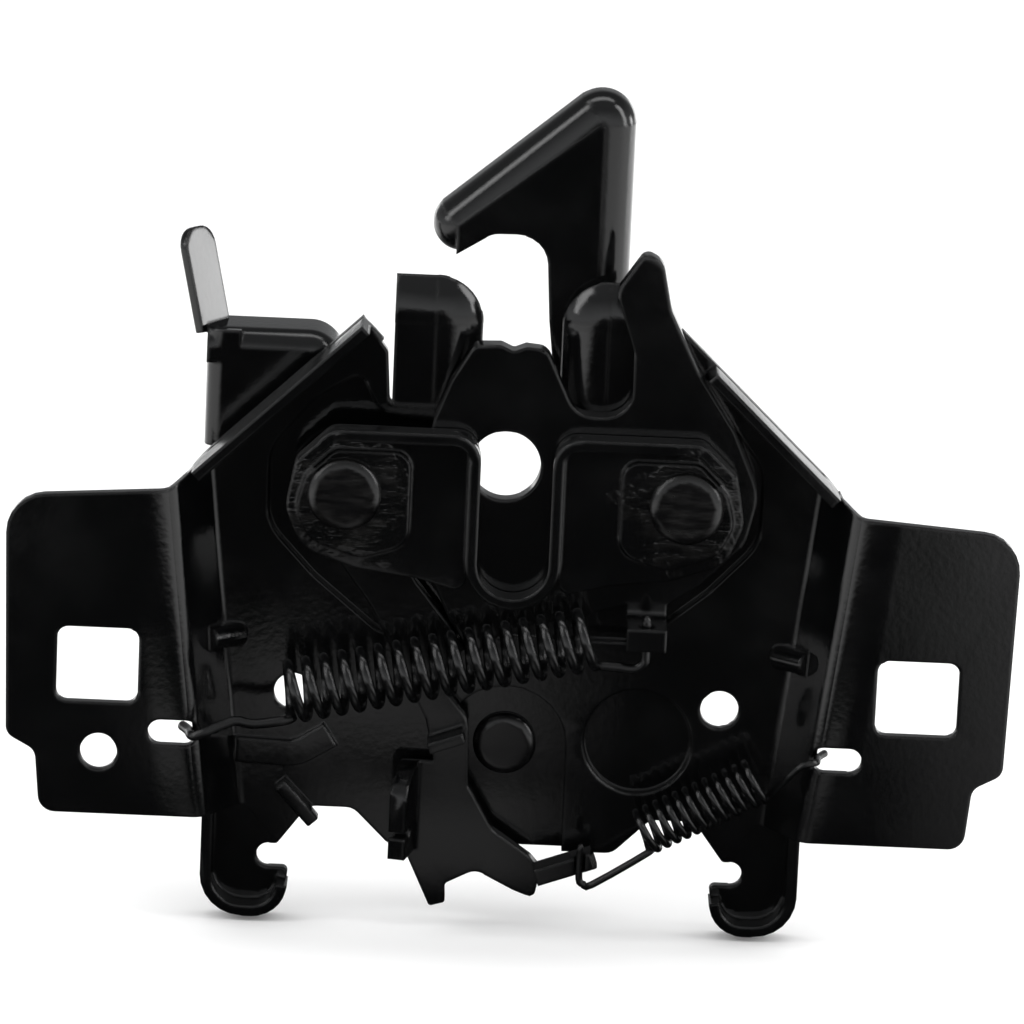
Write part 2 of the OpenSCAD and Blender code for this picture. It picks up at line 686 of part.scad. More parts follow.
// Release handle: thinner pressing on the back of the safety catch's branch
handle_r = 6;
handle_right = -31.5;
handle_low = 36;
handle_path = [[handle_t / 2, handle_front + handle_fold],
    [handle_t / 2, handle_front + handle_t / 2, handle_t / 2 + 2],
    [handle_r, handle_front + handle_t / 2]];
end_path = [[handle_t / 2, handle_front + handle_fold],
    [handle_t / 2, handle_front + handle_t / 2, handle_t / 2 + 1.2],
    [handle_r, handle_front + handle_t / 2]];
handle_points = [
    [-handle_reach + 3, handle_low], handle_pins[0] + [-7, -4, 4], handle_pins[1] + [-1.5, -7, 4],
        handle_pins[1] + [6.6, 0.5, 4],
    [handle_right - 3, 44], [handle_right - 3, handle_top - handle_r],
        [handle_right - handle_r, handle_top - 3],
    [-handle_reach + 3, handle_top - 3]];

tab_len = 18.5;
tab_lean = 15;
tab_twist = 32;
tab_round = 3.6;

module finger_tab() {
    half = tab_w / 2;
    translate([-handle_reach + handle_t / 2, handle_front + handle_fold - half - 0.6, handle_top - 1.5])
        rotate([0, 0, -tab_twist])
            rotate([0, -tab_lean, 0])
                rotate([90, 0, 90])
                    translate([0, 0, -handle_t / 2])
                        linear_extrude(handle_t)
                            polygon(outline([[-half, 0], [half, 0], [half, tab_len, tab_round],
                                [-half, tab_len, tab_round]]));
}

module release_handle() {
    color(black_coat) {
        difference() {
            union() {
                plate(handle_front, handle_t)
                    polygon(outline(handle_points));
                edge_fold([-handle_reach, handle_top], [handle_right - handle_r, handle_top],
                    handle_path, handle_t);
                corner_fold([handle_right - handle_r, handle_top - handle_r], handle_r, 0, 90,
                    handle_path, handle_t);
                edge_fold([handle_right, handle_top - handle_r], [handle_right, 44], handle_path,
                    handle_t);
                edge_fold([-handle_reach, handle_low], [-handle_reach, handle_top], end_path, handle_t);
                finger_tab();
            }
            for (p = handle_pins)
                round_y(p, handle_shank_d / 2 + set_gap, handle_front - more, handle_rear + more);
        }
    }
}

// Rivets: a shank between two set heads
module head(c, y, r, t, toward) {
    translate([c[0], y, c[1]])
        rotate([toward * 90, 0, 0])
            rotate_extrude()
                polygon([[0, 0], [r, 0], [r, t * 0.45], [r - t * 0.3, t * 0.8], [r - t * 0.8, t],
                    [0, t]]);
}

module rivet(c, shank, front, rear, front_r, rear_r, t) {
    color(black_zinc) {
        round_y(c, shank / 2, front - t / 2, rear + t / 2);
        head(c, front, front_r, t, 1);
        head(c, rear, rear_r, t - 0.2, -1);
    }
}

module claw_rivet() {
    rivet(claw_pivot, shank_d, pad_front, seat_rear, head_d / 2, head_d / 2 - 0.6, head_t);
}

module pawl_rivet() {
    rivet(pawl_pivot, shank_d, pad_front, seat_rear, head_d / 2, head_d / 2 - 0.6, head_t);
}

module catch_rivet() {
    rivet(catch_pivot, catch_shank_d, dish_front, catch_washer_rear, catch_shank_d / 2 + 2.6,
        catch_shank_d / 2 + 2, head_t);
}

// A rivet with a sunk front head, flush with the safety catch
module flush_rivet(c) {
    color(black_zinc) {
        round_y(c, handle_shank_d / 2, catch_front + seam, handle_rear + sink_t / 2);
        cone_y(c, sink_r - seam, sink_r - sink_t, catch_front + seam, catch_front + sink_t);
        head(c, handle_rear, sink_r, sink_t, -1);
    }
}

module upper_handle_rivet() {
    flush_rivet(handle_pins[0]);
}

module lower_handle_rivet() {
    flush_rivet(handle_pins[1]);
}

// Rings: bushings that the moving plates turn on, and washers and a spacer beside them
module ring(c, inner, outer, y0, y1) {
    color(black_zinc)
        difference() {
            round_y(c, outer, y0, y1);
            round_y(c, inner, y0 - more, y1 + more);
        }
}

module claw_bushing() {
    ring(claw_pivot, shank_d / 2 + set_gap, bushing_d / 2, cover_rear, seat_front);
}

module pawl_bushing() {
    ring(pawl_pivot, shank_d / 2 + set_gap, bushing_d / 2, cover_rear, seat_front);
}

module catch_bushing() {
    ring(catch_pivot, catch_shank_d / 2 + set_gap, catch_bushing_d / 2, dish_rear, catch_washer_front);
}

module claw_washer() {
    ring(claw_pivot, bushing_d / 2 + run_gap, bushing_d / 2 + washer_w, claw_rear + 0.1,
        seat_front - 0.02);
}

module pawl_washer() {
    ring(pawl_pivot, bushing_d / 2 + run_gap, bushing_d / 2 + washer_w, pawl_front + pawl_t + 0.1,
        seat_front - 0.02);
}

module catch_washer() {
    ring(catch_pivot, catch_shank_d / 2 + set_gap, catch_bushing_d / 2 + 3.5, catch_washer_front,
        catch_washer_rear);
}

module catch_spacer() {
    ring(catch_pivot, catch_bushing_d / 2 + run_gap, catch_bushing_d / 2 + 2.4, dish_rear + 0.02,
        catch_front - 0.1);
}

// Springs: one round wire swept along its own path
wire_sides = 8;
turn_steps = 12;
claw_spring_y = claw_front - claw_coil_d / 2 - claw_wire / 2 - 1.1;
pawl_spring_y = pawl_front - pawl_coil_d / 2 - pawl_wire / 2 - 0.6;

function deep(p, y) = [p[0], y, p[1]];
function across(v, t) = unit(v - (v * t) * t);
function tangent(p, i) = unit(p[min(i + 1, len(p) - 1)] - p[max(i - 1, 0)]);

// A straight coil from a to b: first point below the axis, turning towards the back
function coil(a, b, r, turns) = let (
        axis = unit(b - a),
        down = across([0, 0, -1], axis),
        side = cross(axis, down),
        n = turns * turn_steps
    )
    [for (i = [0:n]) a + (b - a) * i / n + r * (cos(360 * i / turn_steps) * down
        + sin(360 * i / turn_steps) * side)];

module wire(p, d) {
    n = len(p);
    frames = [for (i = 0, u = across([0.13, 0.2, 1], tangent(p, 0)); i < n;
        i = i + 1, u = i < n ? across(u, tangent(p, i)) : u) u];
    points = [for (i = [0:n - 1]) let (t = tangent(p, i), u = frames[i], w = cross(t, u))
        for (k = [0:wire_sides - 1])
            p[i] + d / 2 * (cos(360 * k / wire_sides) * u + sin(360 * k / wire_sides) * w)];
    sides = [for (i = [0:n - 2], k = [0:wire_sides - 1]) let (
            a = i * wire_sides + k,
            b = i * wire_sides + (k + 1) % wire_sides
        )
        each [[a, b, b + wire_sides], [a, b + wire_sides, a + wire_sides]]];
    ends = [[for (k = [wire_sides - 1:-1:0]) k], [for (k = [0:wire_sides - 1]) (n - 1) * wire_sides + k]];
    polyhedron(points, concat(sides, ends));
}

claw_coil_a = [-39.2, -3.2];
claw_coil_b = [14.4, 9];
pawl_coil_a = [24.6, -27];
pawl_coil_b = [45, -16.2];

module claw_spring() {
    a = deep(claw_coil_a, claw_spring_y);
    b = deep(claw_coil_b, claw_spring_y);
    eye = deep(hook_eye, claw_spring_y);
    slot_end = claw_slot + [slot_len / 2 - claw_wire / 2 - 0.45, 0];
    left_hook = [
        deep(slot_end + [-1.5, 0], 2.8), deep(slot_end + [-0.8, 0], 1.3), deep(slot_end, wing_front / 2),
        deep(slot_end + [0.3, 0.2], -3.4), deep(slot_end + [1.6, 0.6], -4.8),
        deep(slot_end + [7.6, 3], claw_spring_y), deep(slot_end + [11.2, 2.6], claw_spring_y)];
    right_hook = [
        eye + [-4.6, 0, -5.6], eye + [-1.8, 0, -5.8], eye + [-0.2, 0, -4.6],
        eye + [0, 0, -3], eye + [0, 0, 2.6], eye + [-0.4, 0, 3.4]];
    color(spring_black)
        wire(concat(left_hook, coil(a, b, claw_coil_d / 2, claw_turns), right_hook), claw_wire);
}

module pawl_spring() {
    a = deep(pawl_coil_a, pawl_spring_y);
    b = deep(pawl_coil_b, pawl_spring_y);
    eye = deep(spring_tab, pawl_spring_y);
    slot_end = pawl_slot + [-slot_len / 2 + pawl_wire / 2 + 0.3, 0];
    left_hook = [
        eye + [0.4, 0, 3.4], eye + [0, 0, 2.6], eye + [0, 0, -2.6],
        eye + [0.8, 0, -3.6], eye + [2.4, 0, -3.6]];
    right_hook = [
        deep(slot_end + [-3.4, -1], -4.4), deep(slot_end + [-1, 0], -4.2), deep(slot_end + [-0.1, 0], -3.2),
        deep(slot_end, wing_front / 2), deep(slot_end + [0.8, 0], 1.2), deep(slot_end + [1.5, 0], 2.6)];
    color(spring_black)
        wire(concat(left_hook, coil(a, b, pawl_coil_d / 2, pawl_turns), right_hook), pawl_wire);
}

module catch_spring() {
    r = catch_bushing_d / 2 + catch_wire / 2 + 0.6;
    y0 = coil_front + catch_wire / 2;
    y1 = coil_rear - catch_wire / 2;
    y_hook = dish_front - catch_wire / 2 - 0.4;
    low = -wing_bottom - 6.4 - catch_wire / 2 - 0.4;
    edge = stem_low + 23 * stem_dir + (catch_wire / 2 + 0.35) * [stem_dir[1], -stem_dir[0]];
    turns = 1.125;
    n = round(turns * 16);
    leg = [
        deep([-r, low + 3.4], y_hook), deep([-r, low + 0.8], y_hook), deep([-r, low], dish_front + 0.4),
        deep([-r, low], y0 - 1.2), deep([-r, low + 1], y0)];
    round_coil = [for (i = [0:n])
        deep(on_circle(catch_pivot, r, 180 - 360 * turns * i / n), y0 + (y1 - y0) * i / n)];
    arm = [
        deep(edge + [0, -2], y1), deep(edge + [0, -0.5], y1 - 0.3), deep(edge, y1 - 1.4),
        deep(edge, catch_front + 0.6)];
    color(spring_black)
        wire(concat(leg, round_coil, arm), catch_wire);
}

base_plate();
cover_plate();
claw();
pawl();
safety_catch();
release_handle();
claw_rivet();
pawl_rivet();
catch_rivet();
upper_handle_rivet();
lower_handle_rivet();
claw_bushing();
pawl_bushing();
catch_bushing();
claw_washer();
pawl_washer();
catch_washer();
catch_spacer();
claw_spring();
pawl_spring();
catch_spring();
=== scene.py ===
"""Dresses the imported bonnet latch: coated pressings, greased pivots, wound springs, a small studio."""

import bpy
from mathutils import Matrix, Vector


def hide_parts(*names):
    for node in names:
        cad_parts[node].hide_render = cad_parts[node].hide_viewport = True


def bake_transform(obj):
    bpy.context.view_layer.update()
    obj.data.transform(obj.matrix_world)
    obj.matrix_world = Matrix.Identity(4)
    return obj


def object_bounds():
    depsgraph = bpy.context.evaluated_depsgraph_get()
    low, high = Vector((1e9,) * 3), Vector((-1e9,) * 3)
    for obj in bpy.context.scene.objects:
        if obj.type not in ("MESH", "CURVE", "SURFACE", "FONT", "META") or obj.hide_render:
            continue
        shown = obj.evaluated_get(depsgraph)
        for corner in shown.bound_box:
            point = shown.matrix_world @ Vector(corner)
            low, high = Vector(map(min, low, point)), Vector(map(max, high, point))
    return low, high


bl_info = {
    "name": "Bonnet latch",
    "version": (1, 0, 0),
    "blender": (4, 5, 0),
    "location": "3D View > Sidebar > Latch",
    "description": "Finishes, springs and stage of a pressed steel bonnet latch",
    "category": "Object",
}

import math

import bpy
from bpy.props import FloatProperty, FloatVectorProperty, IntProperty, PointerProperty
from mathutils import Matrix, Vector

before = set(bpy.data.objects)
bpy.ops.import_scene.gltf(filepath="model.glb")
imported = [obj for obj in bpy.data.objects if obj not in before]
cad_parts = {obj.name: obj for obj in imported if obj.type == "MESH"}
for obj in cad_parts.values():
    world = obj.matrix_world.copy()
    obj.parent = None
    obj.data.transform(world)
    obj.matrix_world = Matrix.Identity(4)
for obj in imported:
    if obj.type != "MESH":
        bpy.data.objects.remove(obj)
CAD_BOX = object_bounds()
MM = 0.001

# Pieces by finish
BASE = "base_plate"
COVER = "cover_plate"
PRESSINGS = ("safety_catch", "release_handle")
FOLDED = (BASE, COVER)
BLANKED = ("claw", "pawl")
PIVOTS = (
    "claw_rivet", "pawl_rivet", "catch_rivet", "upper_handle_rivet", "lower_handle_rivet", "claw_bushing",
    "pawl_bushing", "catch_bushing", "claw_washer", "pawl_washer", "catch_washer", "catch_spacer",
)

# Places on the latch, in metres
CLAW_PIVOT = Vector((30.0, 0.0, 32.4)) * MM
PAWL_PIVOT = Vector((-30.0, 0.0, 32.4)) * MM
WALL_LEAN = math.radians(6.6)          # of the walls between pan and wings
WING_BEND = 56.6 * MM                  # from the middle to the wings' bends
ROLL_WIDTH = 7.5 * MM

# The wings' spring slots, in millimetres
SLOT_MIDDLE = 58.635
SLOT_REACH = 4.4
SLOT_HEIGHT = -11.8

# Rounded edges
STEEP_EDGE = math.radians(32.0)        # steeper than any bend's facets
TINY_EDGE = 0.2 * MM                   # shorter edges are steps in the mesh
WELD_REACH = 0.002 * MM
NARROW_FOLDED = 8                      # degrees; narrower corners stay sharp
NARROW_PLAIN = 4
NONE_NEAR = 0.0001                     # a mean below this is nothing

# Coats: range of roughness, waves to the metre and depth of relief
SHEET_COAT = {"rough": (0.07, 0.16), "wave": 45.0, "relief": 0.26 * MM}
BLANK_COAT = {"rough": (0.1, 0.18), "wave": 60.0, "relief": 0.2 * MM}
PIVOT_COAT = {"rough": (0.1, 0.2), "wave": 160.0, "relief": 0.06 * MM}
WIRE_COAT = {"rough": (0.09, 0.16), "wave": 120.0, "relief": 0.04 * MM}
BUMP_STRENGTH = 0.5
PEEL_SHARE = 0.16                      # of orange peel in the relief
CLOUD_SCALE = 70.0
SPECK_SCALE = 2600.0
GREASE_ROUGHNESS = 0.12                # added where grease lies
GREASE_EDGE = 3.0 * MM
GREASE_WANDER = (-4.0 * MM, 3.0 * MM)
GREASE_PATCHES = 160.0
STROKE_TURN = math.radians(35.0)
STROKE_STRETCH = (0.24, 1.0, 1.0)

# Floor and room as the shine sees them: where a fade starts and ends, then its values there. The floor's
# fades are painted light, brighter towards its sides and behind the latch, which only reflections see
FLOOR_HALF = 3.0
FLOOR_GAP = 1.0 * MM
FLOOR_MIDDLE = -0.02
FLOOR_SIDES = (0.09, 0.19, 0.015, 0.9)
FLOOR_REAR = (0.05, 0.5, 0.0, 0.45)
ROOM_BEHIND = (-0.2, 0.7, 1.0, 0.35)
ROOM_ABOVE = (0.05, 0.6, 1.0, 0.35)
ROOM_WHITE = (1.0, 1.0, 1.0, 1.0)
SHINE_WHITE = (0.97, 0.985, 1.0, 1.0)

# Pools of painted light on that floor, which only reflections see: middle in X and Y, then where the pool
# fades along each
FLOOR_LIGHT_POOLS = (
    (-0.025, -0.14, (0.02, 0.05), (0.02, 0.06)),
    (-0.012, -0.05, (0.012, 0.03), (0.018, 0.034)),
)
LIGHT_POOL_VALUE = 0.3

# Soft boxes: name, place, width, height and watts
SOFT_BOXES = (
    ("left_box", (-0.7, -0.3, 0.6), 0.25, 0.8, 2.5),
    ("right_box", (0.75, -0.2, 0.5), 0.2, 0.8, 2.5),
    ("top_box", (0.0, 0.1, 0.95), 0.9, 0.25, 2.0),
    ("tab_box", (0.74, 0.32, 0.11), 0.2, 0.2, 0.9),
)
LIGHTS_AIM = Vector((0.0, 0.0, 0.03))
SENSOR_WIDTH = 36.0                    # millimetres


# Settings a user would change

class LatchFinish(bpy.types.PropertyGroup):
    """Colours and surface qualities of the latch"""

    coat_colour: FloatVectorProperty(
        name="Coat colour", description="Colour of the black coat on the pressings",
        subtype="COLOR", size=3, min=0.0, max=1.0, default=(0.0013, 0.0014, 0.0015))
    dust_colour: FloatVectorProperty(
        name="Dust colour", description="Colour of the faint dust and handling marks on the coat",
        subtype="COLOR", size=3, min=0.0, max=1.0, default=(0.008, 0.0083, 0.0085))
    grease_colour: FloatVectorProperty(
        name="Grease colour", description="Colour of the smeared grease round the pivots",
        subtype="COLOR", size=3, min=0.0, max=1.0, default=(0.0035, 0.0034, 0.0032))
    pivot_colour: FloatVectorProperty(
        name="Pivot colour", description="Colour of the rivets, bushings and washers",
        subtype="COLOR", size=3, min=0.0, max=1.0, default=(0.001, 0.001, 0.0011))
    spring_colour: FloatVectorProperty(
        name="Spring colour", description="Colour of the coated spring wire",
        subtype="COLOR", size=3, min=0.0, max=1.0, default=(0.0014, 0.0015, 0.0016))
    sheet_edge: FloatProperty(
        name="Sheet edge", description="Rounding of the pressings' cut edges",
        unit="LENGTH", min=0.0, max=0.001, default=0.0003)
    edge_sheen: FloatProperty(
        name="Edge sheen", description="Radius over which the coat's shine runs round edges and bends",
        unit="LENGTH", min=0.0001, max=0.002, default=0.0008)
    pivot_edge: FloatProperty(
        name="Pivot edge", description="Rounding of the rivets' and rings' edges",
        unit="LENGTH", min=0.0, max=0.001, default=0.0002)
    wing_roll: FloatProperty(
        name="Wing roll", description="Depth of the wings' slow roll into their bends",
        unit="LENGTH", min=0.0, max=0.005, default=0.0012)
    cover_grease: FloatProperty(
        name="Cover grease", description="Depth of the grease's strokes on the cover plate",
        unit="LENGTH", min=0.0, max=0.001, default=0.00034)
    pivot_grease: FloatProperty(
        name="Pivot grease", description="Depth of the grease's strokes on the rivets",
        unit="LENGTH", min=0.0, max=0.001, default=0.00012)


class LatchSprings(bpy.types.PropertyGroup):
    """Sizes of the three springs"""

    claw_wire: FloatProperty(
        name="Claw wire", description="Wire diameter of the claw's spring",
        unit="LENGTH", min=0.001, max=0.003, default=0.0018)
    claw_coil: FloatProperty(
        name="Claw coil", description="Middle diameter of the claw's spring",
        unit="LENGTH", min=0.005, max=0.02, default=0.0099)
    claw_turns: IntProperty(
        name="Claw turns", description="Turns in the claw's spring", min=4, max=40, default=17)
    pawl_wire: FloatProperty(
        name="Pawl wire", description="Wire diameter of the pawl's spring",
        unit="LENGTH", min=0.0005, max=0.003, default=0.0013)
    pawl_coil: FloatProperty(
        name="Pawl coil", description="Middle diameter of the pawl's spring",
        unit="LENGTH", min=0.004, max=0.02, default=0.0076)
    pawl_turns: IntProperty(
        name="Pawl turns", description="Turns in the pawl's spring", min=4, max=40, default=12)
    catch_wire: FloatProperty(
        name="Catch wire", description="Wire diameter of the safety catch's spring",
        unit="LENGTH", min=0.0005, max=0.003, default=0.0013)
    catch_coil: FloatProperty(
        name="Catch coil", description="Middle diameter of the safety catch's spring",
        unit="LENGTH", min=0.005, max=0.03, default=0.0115)


class LatchStage(bpy.types.PropertyGroup):
    """Camera and studio"""

    azimuth: FloatProperty(
        name="Azimuth", description="Camera's turn round the latch",
        subtype="ANGLE", default=math.radians(-0.405))
    elevation: FloatProperty(
        name="Elevation", description="Camera's height above the horizon",
        subtype="ANGLE", default=math.radians(14.19))
    roll: FloatProperty(
        name="Roll", description="Camera's turn about its own line of sight",
        subtype="ANGLE", default=math.radians(2.56))
    distance: FloatProperty(
        name="Distance", description="Camera's distance from the latch",
        unit="LENGTH", default=1.2)
    lens: FloatProperty(
        name="Lens", description="Focal length in millimetres", default=239.9)
    aim: FloatVectorProperty(
        name="Aim", description="Point at the middle of the picture",
        subtype="XYZ", unit="LENGTH", size=3, default=(-0.0005, 0.005, 0.02917))
    floor_colour: FloatVectorProperty(
        name="Floor colour", description="Colour of the pale floor",
        subtype="COLOR", size=3, min=0.0, max=1.0, default=(0.95, 0.95, 0.95))


# Shader node groups

def new_group(name, inputs, outputs):
    """An empty shader group with float inputs (name, default) and outputs (name, socket type)."""
    group = bpy.data.node_groups.new(name, "ShaderNodeTree")
    for label, default in inputs:
        socket = group.interface.new_socket(name=label, in_out="INPUT", socket_type="NodeSocketFloat")
        socket.default_value = default
    for label, kind in outputs:
        group.interface.new_socket(name=label, in_out="OUTPUT", socket_type=kind)
    return group, group.nodes.new("NodeGroupInput"), group.nodes.new("NodeGroupOutput")


def noise_node(tree, coordinates, scale, detail=3.0, roughness=0.5):
    """A noise texture at a fixed scale, or at a scale that a socket gives."""
    node = tree.nodes.new("ShaderNodeTexNoise")
    tree.links.new(coordinates, node.inputs["Vector"])
    node.inputs["Detail"].default_value = detail
    node.inputs["Roughness"].default_value = roughness
    if isinstance(scale, (int, float)):
        node.inputs["Scale"].default_value = scale
    else:
        tree.links.new(scale, node.inputs["Scale"])
    return node.outputs["Fac"]


def ramp_node(tree, value, low, high, to_low=0.0, to_high=1.0):
    """Maps value from low..high to to_low..to_high, clamped."""
    node = tree.nodes.new("ShaderNodeMapRange")
    tree.links.new(value, node.inputs["Value"])
    for label, number in (("From Min", low), ("From Max", high), ("To Min", to_low), ("To Max", to_high)):
        if isinstance(number, (int, float)):
            node.inputs[label].default_value = number
        else:
            tree.links.new(number, node.inputs[label])
    return node.outputs["Result"]


def math_node(tree, operation, first, second=None):
    """One math step between sockets or numbers."""
    node = tree.nodes.new("ShaderNodeMath")
    node.operation = operation
    for index, value in enumerate((first, second)):
        if value is None:
            continue
        if isinstance(value, (int, float)):
            node.inputs[index].default_value = value
        else:
            tree.links.new(value, node.inputs[index])
    return node.outputs[0]


def vector_node(tree, operation, first, second=None):
    """One vector step on a socket, with a second socket or a plain vector."""
    node = tree.nodes.new("ShaderNodeVectorMath")
    node.operation = operation
    tree.links.new(first, node.inputs[0])
    if hasattr(second, "is_linked"):
        tree.links.new(second, node.inputs[1])
    elif second is not None:
        node.inputs[1].default_value = second
    return node.outputs["Value" if operation in ("DISTANCE", "DOT_PRODUCT", "LENGTH") else "Vector"]


def coat_group():
    """Dipped coat: orange peel, slow waviness of the sheet, dust and a roughness that varies."""
    found = bpy.data.node_groups.get("dipped_coat")
    if found:
        return found
    group, inputs, outputs = new_group(
        "dipped_coat",
        [("Peel Scale", 900.0), ("Wave Scale", 45.0), ("Rough Low", 0.16), ("Rough High", 0.34),
         ("Dust", 0.5)],
        [("Dust Mask", "NodeSocketFloat"), ("Roughness", "NodeSocketFloat"), ("Height", "NodeSocketFloat")])
    place = group.nodes.new("ShaderNodeTexCoord").outputs["Object"]
    peel = noise_node(group, place, inputs.outputs["Peel Scale"], 2.0)
    wave = noise_node(group, place, inputs.outputs["Wave Scale"], 1.0)
    cloud = noise_node(group, place, CLOUD_SCALE, 4.0, 0.6)
    specks = noise_node(group, place, SPECK_SCALE, 1.0)
    height = math_node(group, "ADD", math_node(group, "MULTIPLY", peel, PEEL_SHARE), wave)
    sheen = ramp_node(group, cloud, 0.3, 0.7, inputs.outputs["Rough Low"], inputs.outputs["Rough High"])
    spots = ramp_node(group, specks, 0.72, 0.8)
    veil = ramp_node(group, cloud, 0.45, 0.75, 0.0, 0.35)
    dust = math_node(group, "MULTIPLY", math_node(group, "ADD", spots, veil), inputs.outputs["Dust"])
    group.links.new(dust, outputs.inputs["Dust Mask"])
    group.links.new(sheen, outputs.inputs["Roughness"])
    group.links.new(height, outputs.inputs["Height"])
    return group


def grease_group():
    """Grease smeared in a ring of brush strokes within a set reach of the two pivots."""
    found = bpy.data.node_groups.get("smeared_grease")
    if found:
        return found
    group, inputs, outputs = new_group(
        "smeared_grease",
        [("Reach", 0.0125), ("Stroke Scale", 620.0)],
        [("Grease Mask", "NodeSocketFloat"), ("Height", "NodeSocketFloat")])
    place = group.nodes.new("ShaderNodeTexCoord").outputs["Object"]
    nearest = None
    for pivot in (CLAW_PIVOT, PAWL_PIVOT):
        flat = vector_node(group, "MULTIPLY", vector_node(group, "SUBTRACT", place, pivot), (1.0, 0.0, 1.0))
        away = vector_node(group, "LENGTH", flat)
        nearest = away if nearest is None else math_node(group, "MINIMUM", nearest, away)
    stretch = group.nodes.new("ShaderNodeMapping")
    stretch.inputs["Rotation"].default_value = (0.0, STROKE_TURN, 0.0)
    stretch.inputs["Scale"].default_value = STROKE_STRETCH
    group.links.new(place, stretch.inputs["Vector"])
    strokes = noise_node(group, stretch.outputs["Vector"], inputs.outputs["Stroke Scale"], 3.0, 0.6)
    patches = noise_node(group, place, GREASE_PATCHES, 3.0, 0.6)
    wander = ramp_node(group, patches, 0.3, 0.7, *GREASE_WANDER)
    edge = math_node(group, "ADD", inputs.outputs["Reach"], wander)
    near = ramp_node(group, math_node(group, "SUBTRACT", edge, nearest), 0.0, GREASE_EDGE)
    streak = ramp_node(group, strokes, 0.42, 0.66)
    group.links.new(math_node(group, "MULTIPLY", near, streak), outputs.inputs["Grease Mask"])
    group.links.new(math_node(group, "MULTIPLY", near, strokes), outputs.inputs["Height"])
    return group


def roll_group():
    """The wings' slow roll into their bends, as a height that falls off towards each bend's line."""
    group, inputs, outputs = new_group(
        "wing_roll", [("Bend Line", WING_BEND), ("Roll Width", ROLL_WIDTH)], [("Height", "NodeSocketFloat")])
    place = group.nodes.new("ShaderNodeSeparateXYZ")
    group.links.new(group.nodes.new("ShaderNodeTexCoord").outputs["Object"], place.inputs[0])
    aside = math_node(group, "ABSOLUTE", place.outputs["X"])
    outwards = math_node(group, "MULTIPLY", aside, math.cos(WALL_LEAN))
    upwards = math_node(group, "MULTIPLY", place.outputs["Z"], math.sin(WALL_LEAN))
    across = math_node(group, "SUBTRACT", outwards, upwards)
    end = math_node(group, "ADD", inputs.outputs["Bend Line"], inputs.outputs["Roll Width"])
    fall = ramp_node(group, across, inputs.outputs["Bend Line"], end, 1.0, 0.0)
    height = math_node(group, "SUBTRACT", 1.0, math_node(group, "MULTIPLY", fall, fall))
    group.links.new(height, outputs.inputs["Height"])
    return group


def new_material(name):
    """A material with its Principled shader, and the tree it stands in."""
    material = bpy.data.materials.new(name)
    material.use_nodes = True
    tree = material.node_tree
    return material, tree, tree.nodes["Principled BSDF"]


def place_group(tree, group, **values):
    """A shader group in a material, with its own input values."""
    node = tree.nodes.new("ShaderNodeGroup")
    node.node_tree = group
    for label, value in values.items():
        node.inputs[label.replace("_", " ")].default_value = value
    return node


def tint_node(tree, mask, plain, marked):
    """Colour that goes from plain to marked by a mask, given as a socket or a colour."""
    node = tree.nodes.new("ShaderNodeMix")
    node.data_type = "RGBA"
    tree.links.new(mask, node.inputs["Factor"])
    first_colour, second_colour, colour_out = 6, 7, 2    # the mix's colour sockets
    for index, value in ((first_colour, plain), (second_colour, marked)):
        if hasattr(value, "is_linked"):
            tree.links.new(value, node.inputs[index])
        else:
            node.inputs[index].default_value = (*value, 1.0)
    return node.outputs[colour_out]


def bump_node(tree, height, strength, distance, below=None):
    """Surface relief from a height, over an earlier relief if there is one."""
    node = tree.nodes.new("ShaderNodeBump")
    node.inputs["Strength"].default_value = strength
    node.inputs["Distance"].default_value = distance
    tree.links.new(height, node.inputs["Height"])
    if below is not None:
        tree.links.new(below, node.inputs["Normal"])
    return node.outputs["Normal"]


def coat_material(name, colour, finish, coat_kind, grease_depth=0.0, roll_depth=0.0):
    """Gloss black coat over steel, with depths for grease round the pivots and for the wings' roll."""
    material, tree, shader = new_material(name)
    rounded = tree.nodes.new("ShaderNodeBevel")
    rounded.samples = 4
    rounded.inputs["Radius"].default_value = finish.edge_sheen
    rough_low, rough_high = coat_kind["rough"]
    coat = place_group(
        tree, coat_group(), Wave_Scale=coat_kind["wave"], Rough_Low=rough_low, Rough_High=rough_high)
    colour_now = tint_node(tree, coat.outputs["Dust Mask"], colour, finish.dust_colour)
    normal = rounded.outputs["Normal"]
    if roll_depth:
        roll = place_group(tree, roll_group())
        normal = bump_node(tree, roll.outputs["Height"], 1.0, roll_depth, normal)
    normal = bump_node(tree, coat.outputs["Height"], BUMP_STRENGTH, coat_kind["relief"], normal)
    roughness = coat.outputs["Roughness"]
    if grease_depth:
        grease = place_group(tree, grease_group())
        colour_now = tint_node(tree, grease.outputs["Grease Mask"], colour_now, finish.grease_colour)
        extra = math_node(tree, "MULTIPLY", grease.outputs["Grease Mask"], GREASE_ROUGHNESS)
        roughness = math_node(tree, "ADD", roughness, extra)
        normal = bump_node(tree, grease.outputs["Height"], BUMP_STRENGTH, grease_depth, normal)
    tree.links.new(colour_now, shader.inputs["Base Color"])
    tree.links.new(roughness, shader.inputs["Roughness"])
    tree.links.new(normal, shader.inputs["Normal"])
    return material


def shine_switch(tree, plain, shine, end):
    """Shows glossy rays the second shader and all other rays the first."""
    path = tree.nodes.new("ShaderNodeLightPath")
    mix = tree.nodes.new("ShaderNodeMixShader")
    tree.links.new(path.outputs["Is Glossy Ray"], mix.inputs["Fac"])
    tree.links.new(plain.outputs[0], mix.inputs[1])
    tree.links.new(shine.outputs[0], mix.inputs[2])
    tree.links.new(mix.outputs[0], tree.nodes[end].inputs["Surface"])


# Shared mesh tools

